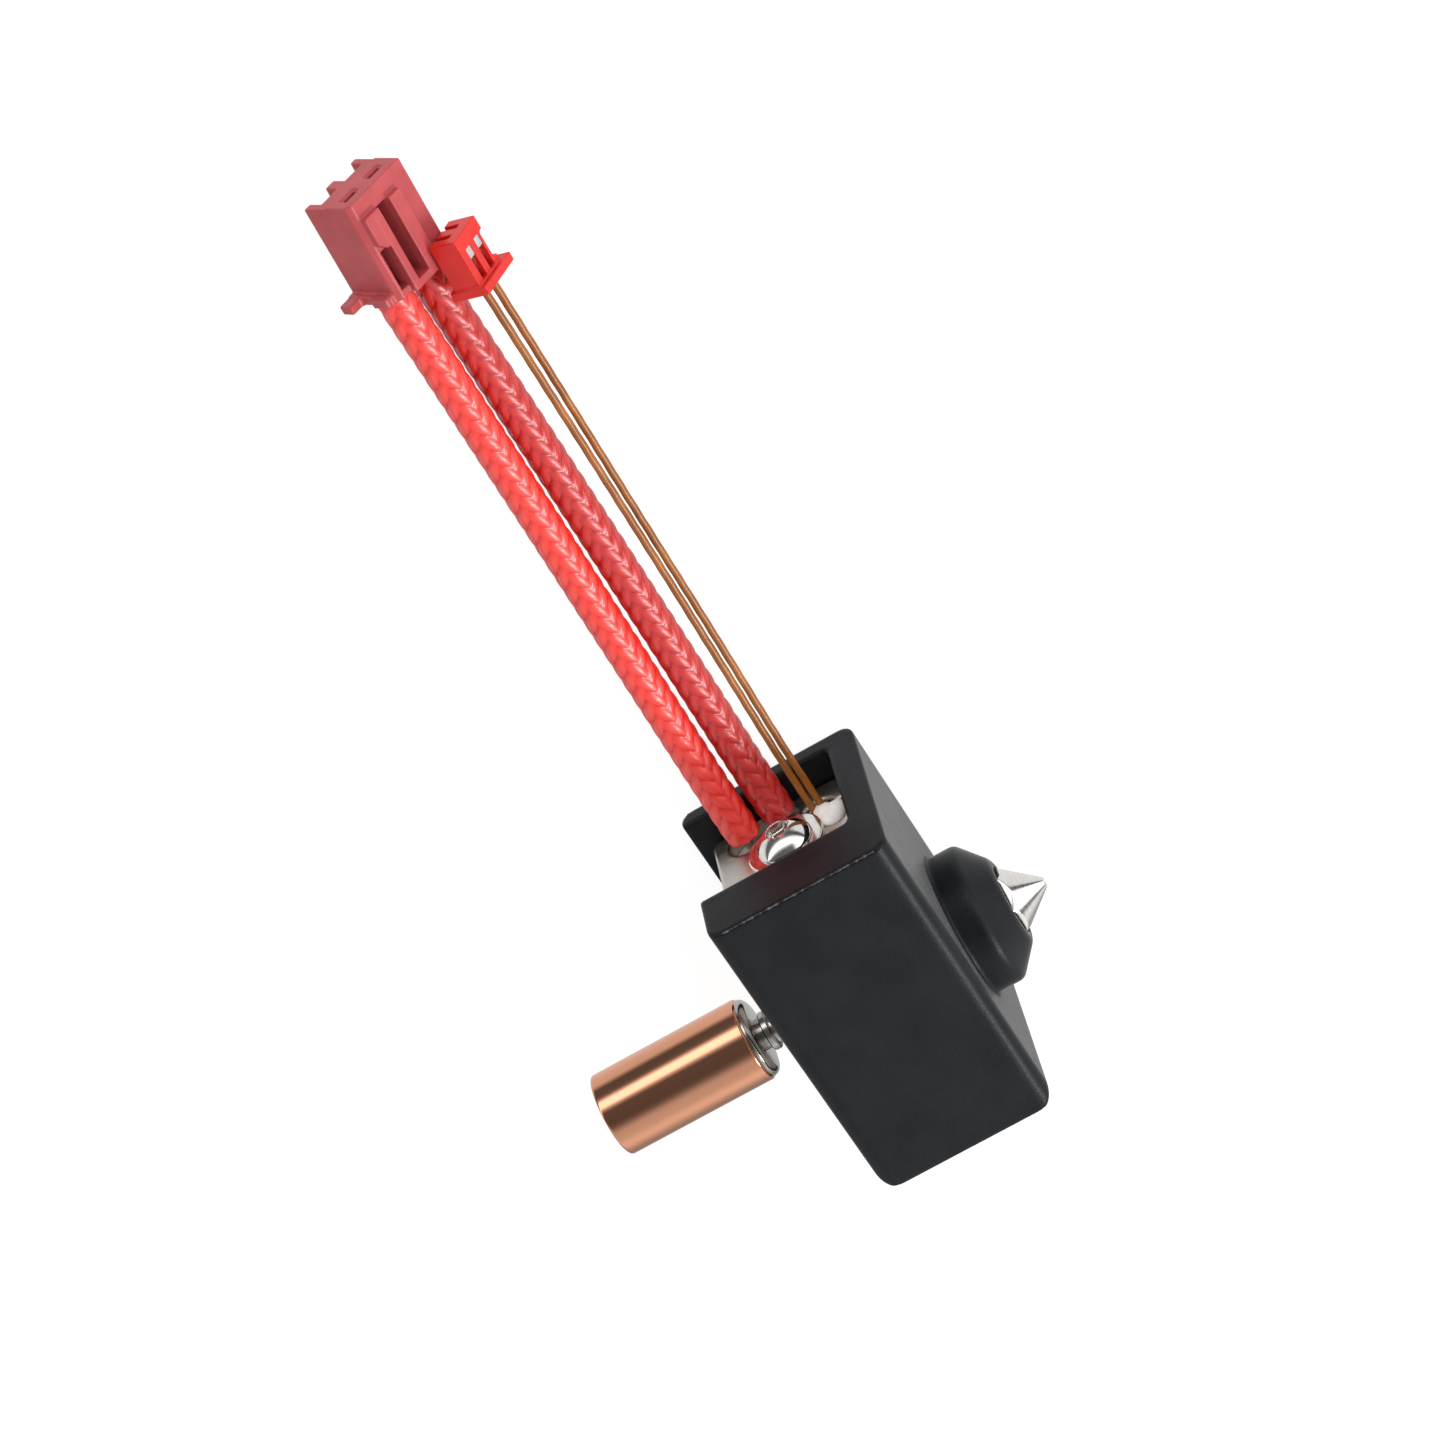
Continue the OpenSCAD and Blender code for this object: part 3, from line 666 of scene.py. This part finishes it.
def nozzle_field(p):
    y = p[1]
    centre = (0, AXIS_Z)
    tip = NOZZLE_HIGH[1]
    land_y = tip - LAND
    throat_y = land_y - THROAT_LEN
    head = common(hexagon_field(p, centre, HEX_FLAT, (0, 2)),
                  cone_field(p, 1, centre, tip - CONE_LEN, CONE_R, tip, TIP_R),
                  BLOCK_HIGH[1] + BLOCK_GAP - y, y - tip, k=0.07)
    shank = rod_field(p, 1, centre, SHANK_R, NOZZLE_LOW[1], BLOCK_HIGH[1] + 0.4, 0.2)
    throat = cone_field(p, 1, centre, throat_y, BORE_R, land_y, ORIFICE_R)
    passage = join(rod_field(p, 1, centre, BORE_R, NOZZLE_LOW[1] - 2, throat_y),
                   common(throat, throat_y - y, y - land_y),
                   rod_field(p, 1, centre, ORIFICE_R, land_y - 0.1, tip + 1))
    return cut(join(head, shank), passage, k=0.05)


points, faces = surface(nozzle_field, NOZZLE_LOW, NOZZLE_HIGH, step=0.085)
piece("nozzle_cone", points, faces, NOZZLE_NICKEL, "nozzle", ["nozzle_body"])


# ---------------------------------------------------------------- thermistor potting

CUP_R = 1.2
CUP_DEPTH = 5


def ball_field(p, centre, radii):
    """Distance, near the surface, to an ellipsoid."""
    shares = [(p[i] - centre[i]) / radii[i] for i in range(3)]
    return (np.sqrt(sum(share ** 2 for share in shares)) - 1) * min(radii)


def potting_field(p):
    """Cement in the thermistor's cup, with a lump that has run out beside the washer."""
    face = BLOCK_LOW[0]
    plug = rod_field(p, 0, (SENSOR_Y, SENSOR_Z), CUP_R, face + 0.1, face + CUP_DEPTH, 0.2)
    swell = ball_field(p, (face, 4.1, 7.4), (0.75, 1.35, 1.45))
    run = ball_field(p, (face, 3.3, 6.1), (0.6, 0.85, 1.0))
    lump = ball_field(p, (face - 0.1, 4.9, 6.9), (0.55, 0.6, 0.8))
    behind = p[0] - face - 0.02
    return join(plug, common(join(swell, run, lump, k=0.5), behind), k=0.05)


potting_low = (BLOCK_LOW[0] - 0.9, 1.6, 4.1)
potting_high = (BLOCK_LOW[0] + 5.1, 5.8, 9.1)
points, faces = surface(potting_field, potting_low, potting_high, step=0.1)
piece("thermistor_cement", points, faces, CERAMIC, "hot_side", ["thermistor_potting"])


# ---------------------------------------------------------------- screw and washer

HEAD_R = 2.8
HEAD_H = 2.0
SOCKET_FLAT = 1.0
SOCKET_DEPTH = 1.3
SCREW_SHANK_R = 1.45
DOME_LIFT = 0.17


def screw_field(p):
    x, y, z = p
    centre = (SCREW_Y, SCREW_Z)
    top = WASHER_LOW[0] - HEAD_H
    dome_r = (HEAD_R ** 2 + HEAD_H ** 2) / (2 * HEAD_H)
    ball = np.hypot(np.hypot(y - SCREW_Y, z - SCREW_Z), x - top - DOME_LIFT - dome_r) - dome_r
    head = common(rod_field(p, 0, centre, HEAD_R, top, WASHER_LOW[0], 0.1), ball, k=0.25)
    shank = rod_field(p, 0, centre, SCREW_SHANK_R, WASHER_LOW[0] - 0.3, WASHER_LOW[0] + 7.4, 0.2)
    socket = common(hexagon_field(p, centre, SOCKET_FLAT, (1, 2)), x - top - SOCKET_DEPTH, k=0.1)
    return cut(join(head, shank, k=0.1), socket, k=0.14)


screw_low = (WASHER_LOW[0] - HEAD_H, SCREW_Y - HEAD_R, SCREW_Z - HEAD_R)
screw_high = (WASHER_LOW[0] + 7.5, SCREW_Y + HEAD_R, SCREW_Z + HEAD_R)
points, faces = surface(screw_field, screw_low, screw_high, step=0.07)
piece("screw_body", points, faces, BRIGHT_NICKEL, "screw", ["retaining_screw"])


def washer_field(p):
    centre = (SCREW_Y, SCREW_Z)
    disc = rod_field(p, 0, centre, (WASHER_HIGH[1] - WASHER_LOW[1]) / 2, WASHER_LOW[0], WASHER_HIGH[0], 0.14)
    return cut(disc, rod_field(p, 0, centre, 1.6, WASHER_LOW[0] - 1, WASHER_HIGH[0] + 1), k=0.1)


points, faces = surface(washer_field, WASHER_LOW, WASHER_HIGH, step=0.07)
piece("washer_ring", points, faces, BRIGHT_NICKEL, "hot_side", ["retaining_washer"])


# ---------------------------------------------------------------- plugs

def placed(points, position, roll, pitch, yaw):
    """Points of a plug, whose own +X runs from its mating face to the leads, in the row frame."""
    turn = (Matrix.Rotation(math.radians(yaw), 3, "Z") @ Matrix.Rotation(math.radians(-pitch), 3, "Y")
            @ Matrix.Rotation(math.radians(-roll), 3, "X"))
    return points @ np.array(turn).T + np.array(position)


PLUG_LEN, PLUG_HALF_W, PLUG_HALF_T = 9.3, 3.4, 2.7
PLUG_FLANGE = 0.8
RIB = 0.6


PLUG_WAYS = (-1.6, 1.5)


def plug_field(p):
    x, y, z = p
    w, t, body = PLUG_HALF_W, PLUG_HALF_T, PLUG_LEN - PLUG_FLANGE
    rib_top = t + RIB
    shell = box_field(p, (0, -w, -t), (PLUG_LEN, w, t), 0.12)
    bevel = (-y + z - (w + t - 0.45)) / math.sqrt(2)
    shell = common(shell, bevel, k=0.1)
    # Recesses between the three ribs of the back
    back = [box_field(p, (None, low, None), (None, high, -1.3), 0.15)
            for low, high in ((-2.6, -0.6), (0.5, 2.7))]
    # Rear flange: a wing at the back edge and a lip nearer the front of each narrow side
    flange = [join(box_field(p, (body, -w - 1.8, -t), (PLUG_LEN, w + 1.8, -1.4), 0.1),
                   box_field(p, (body, -w - 0.9, 0.2), (PLUG_LEN, w + 0.9, 2.0), 0.1),
                   box_field(p, (body, -w - 0.5, -t), (PLUG_LEN, w + 0.5, 2.2), 0.1), k=0.3)]
    slant = common(box_field(p, (1.5, -2.9, 0), (4.7, -1.1, rib_top), 0.1),
                   (x - y - 6.9) / math.sqrt(2), k=0.1)
    ribs = [slant, box_field(p, (2.0, -1.9, 0), (PLUG_LEN, -1.1, rib_top), 0.1),
            box_field(p, (1.6, 0.2, 0), (PLUG_LEN, 1.6, rib_top), 0.1),
            box_field(p, (body + 0.1, -1.9, 0), (PLUG_LEN, 1.6, rib_top), 0.1)]
    solid = join(cut(shell, *back, k=0.15), *flange, *ribs, k=0.12)
    slots = [box_field(p, (None, c - 0.68, 0.95), (2.6, c + 0.68, 1.5), 0.05) for c in PLUG_WAYS]
    mouths = [box_field(p, (-0.3, c - 0.85, 0.8), (0.12, c + 0.85, 1.65), 0.05) for c in PLUG_WAYS]
    cavities = [box_field(p, (1.2, c - 0.85, -1), (PLUG_LEN + 2, c + 0.85, 1.5), 0.05) for c in PLUG_WAYS]
    windows = [box_field(p, (1.7, -1.1, 0.4), (body + 0.1, 0.2, None), 0.05),
               box_field(p, (4.8, -2.7, 0.9), (body + 0.1, -1.9, None), 0.05)]
    step = box_field(p, (-1, None, None), (0.14, None, -0.25), 0.02)
    return cut(solid, *slots, *mouths, *cavities, *windows, step, k=0.1)


def plug_piece(name, field, low, high, step, spot, material, replaced):
    points, faces = surface(field, low, high, step)
    return piece(name, placed(points, *spot), faces, material, "hot_side", replaced)


PLUG_SPOT = ((-87.73, -0.23, 5.89), 43, -1.9, -4)
plug_reach = PLUG_HALF_W + 1.8
heater_plug = plug_piece(
    "heater_plug_shell", plug_field, (0, -plug_reach, -PLUG_HALF_T),
    (PLUG_LEN, plug_reach, PLUG_HALF_T + RIB), 0.1,
    PLUG_SPOT, PLUG_RED, ["heater_plug_housing"])

MINI_LEN, MINI_HALF_W, MINI_HALF_T = 5.2, 1.95, 1.32
MINI_FLANGE = 0.8
MINI_WING = 0.9


MINI_BAND = 1.3
MINI_WAYS = (-0.75, 0.75)
PIN_HALF = 0.26


def mini_field(p):
    w, t, body = MINI_HALF_W, MINI_HALF_T, MINI_LEN - MINI_FLANGE
    shell = box_field(p, (0, -w, -t), (MINI_LEN, w, t), 0.08)
    flange = box_field(p, (body, -w - 0.1, -t - 0.5), (MINI_LEN, w + MINI_WING, t + 0.5), 0.08)
    # The +Y corner is cut away behind the front band and slopes back out to the flange
    slope = box_field(p, (MINI_BAND, w - 0.5, 0.2), (body - 0.6, None, None), 0.3)
    pins = [box_field(p, (-1, c - PIN_HALF, -0.25), (3, c + PIN_HALF, 0.25), 0.04) for c in MINI_WAYS]
    backs = [box_field(p, (-1, c - PIN_HALF, None), (2.4, c + PIN_HALF, 0.1), 0.04) for c in MINI_WAYS]
    cavities = [box_field(p, (0.9, c - 0.45, -0.7), (MINI_LEN + 1, c + 0.45, 0.8), 0.05)
                for c in MINI_WAYS]
    channels = [box_field(p, (MINI_BAND, c - 0.38, 0.55), (body - 0.15, c + 0.38, None), 0.06)
                for c in MINI_WAYS]
    return cut(join(shell, flange, k=0.25), slope, *pins, *backs, *cavities, *channels, k=0.08)


MINI_SPOT = ((-80.19, 4.47, 6.75), 58, 1.2, -2.1)
sensor_plug = plug_piece(
    "thermistor_plug_shell", mini_field, (0, -MINI_HALF_W - 0.1, -MINI_HALF_T - 0.5),
    (MINI_LEN, MINI_HALF_W + MINI_WING, MINI_HALF_T + 0.5), 0.06,
    MINI_SPOT, MINI_RED, ["thermistor_plug_housing"])


# ---------------------------------------------------------------- carried CAD nodes

BEAD_GLASS = nylon_material("bead_glass", (0.42, 0.11, 0.04), (0.60, 0.19, 0.08), 0.12)
CARRIED = {
    "heater_element": CERAMIC, "heater_seal": CERAMIC,
    "thermistor_bead": BEAD_GLASS, "thermistor_capsule": STEEL,
    "heater_tail_left": TINNED, "heater_tail_right": TINNED,
    "heater_terminal_left": TINNED, "heater_terminal_right": TINNED,
    "thermistor_terminal_left": TINNED, "thermistor_terminal_right": TINNED}
for name, material in CARRIED.items():
    nodes[name].data.materials.clear()
    nodes[name].data.materials.append(material)
    bevel = nodes[name].modifiers.new("edges", "BEVEL")
    bevel.width = 0.05 * MM
    bevel.segments = 2
    bevel.limit_method = "ANGLE"
    bevel.angle_limit = math.radians(40)


# ---------------------------------------------------------------- studio

def make_floor():
    shader = Shader("floor", (0.2, 0.2, 0.2), 0.9, Emission_Color=(1, 1, 1, 1), Emission_Strength=0.88)
    mesh = bpy.data.meshes.new("floor")
    half = 4.0
    corner_points = [(-half, -half, 0), (half, -half, 0), (half, half, 0), (-half, half, 0)]
    mesh.from_pydata(corner_points, [], [(0, 1, 2, 3)])
    mesh.materials.append(shader.material)
    floor = bpy.data.objects.new("floor", mesh)
    floor.visible_glossy = False
    bpy.context.scene.collection.objects.link(floor)


# Brightness round the filament axis, by angle from +X through +Z: long strips beside the object
BESIDE = [(-180, 0.2), (-172, 0.13), (-154, 0.13), (-147, 0.4), (-138, 0.8), (-92, 0.85), (-60, 0.75),
          (-27, 0.33), (-10, 0.38), (6, 0.62), (21, 0.92), (31, 0.97), (52, 0.68), (73, 0.66), (92, 0.2),
          (102, 0.12), (138, 0.13), (143, 0.38), (148, 0.9), (153, 2.2), (167, 2.4), (172, 1.0), (178, 0.35),
          (180, 0.2)]
# The same for the end of the studio that the nozzle points at
AHEAD = [(-180, 0.3), (-177, 0.08), (-164, 0.08), (-154, 0.8), (-60, 0.85), (18, 0.85), (28, 0.2), (42, 0.2),
         (50, 1.6), (163, 1.8), (172, 1.0), (180, 0.3)]
BRIGHTEST = 2.4


def strips(tree, share, stops):
    """A ramp of grey levels, over share from 0 to 1 as the angle goes from -180 to 180."""
    made = tree.nodes.new("ShaderNodeValToRGB")
    while len(made.color_ramp.elements) < len(stops):
        made.color_ramp.elements.new(0.5)
    for element, (degrees, level) in zip(made.color_ramp.elements, stops):
        element.position = (degrees + 180) / 360
        element.color = (*[level / BRIGHTEST] * 3, 1)
    tree.links.new(share, made.inputs["Fac"])
    return made.outputs["Color"]


def make_world():
    """Long soft strips beside darker gaps, which the polished metal mirrors."""
    world = bpy.data.worlds.new("studio")
    world.use_nodes = True
    tree = world.node_tree
    split = tree.nodes.new("ShaderNodeSeparateXYZ")
    tree.links.new(tree.nodes.new("ShaderNodeTexCoord").outputs["Generated"], split.inputs[0])
    angle = tree.nodes.new("ShaderNodeMath")
    angle.operation = "ARCTAN2"
    tree.links.new(split.outputs["Z"], angle.inputs[0])
    tree.links.new(split.outputs["X"], angle.inputs[1])
    share = tree.nodes.new("ShaderNodeMapRange")
    share.inputs["From Min"].default_value = -math.pi
    share.inputs["From Max"].default_value = math.pi
    tree.links.new(angle.outputs[0], share.inputs["Value"])
    ahead = tree.nodes.new("ShaderNodeMapRange")
    ahead.inputs["From Min"].default_value = 0.35
    ahead.inputs["From Max"].default_value = 0.65
    tree.links.new(split.outputs["Y"], ahead.inputs["Value"])
    mix = tree.nodes.new("ShaderNodeMixRGB")
    tree.links.new(ahead.outputs[0], mix.inputs["Fac"])
    tree.links.new(strips(tree, share.outputs[0], BESIDE), mix.inputs["Color1"])
    tree.links.new(strips(tree, share.outputs[0], AHEAD), mix.inputs["Color2"])
    background = tree.nodes["Background"]
    background.inputs["Strength"].default_value = BRIGHTEST
    tree.links.new(mix.outputs["Color"], background.inputs["Color"])
    bpy.context.scene.world = world


def softbox(name, direction, distance, size, power, mirrored=True):
    """A square light aimed at the middle of the object; a fill isn't mirrored in the metal."""
    target = Vector((-0.030, 0, 0.008))
    light = bpy.data.lights.new(name, "AREA")
    light.size = size
    light.energy = power
    lamp = bpy.data.objects.new(name, light)
    away = Vector(direction).normalized()
    lamp.location = target + away * distance
    lamp.rotation_euler = away.to_track_quat("Z", "Y").to_euler()
    lamp.visible_camera = False
    lamp.visible_glossy = mirrored
    bpy.context.scene.collection.objects.link(lamp)


make_floor()
make_world()
softbox("key", (0.5, 0.5, 0.72), 0.6, 0.22, 2.4)
softbox("fill", (-0.4, 0.1, 0.9), 0.7, 0.5, 1.5, mirrored=False)
bpy.context.scene.view_settings.view_transform = "Standard"
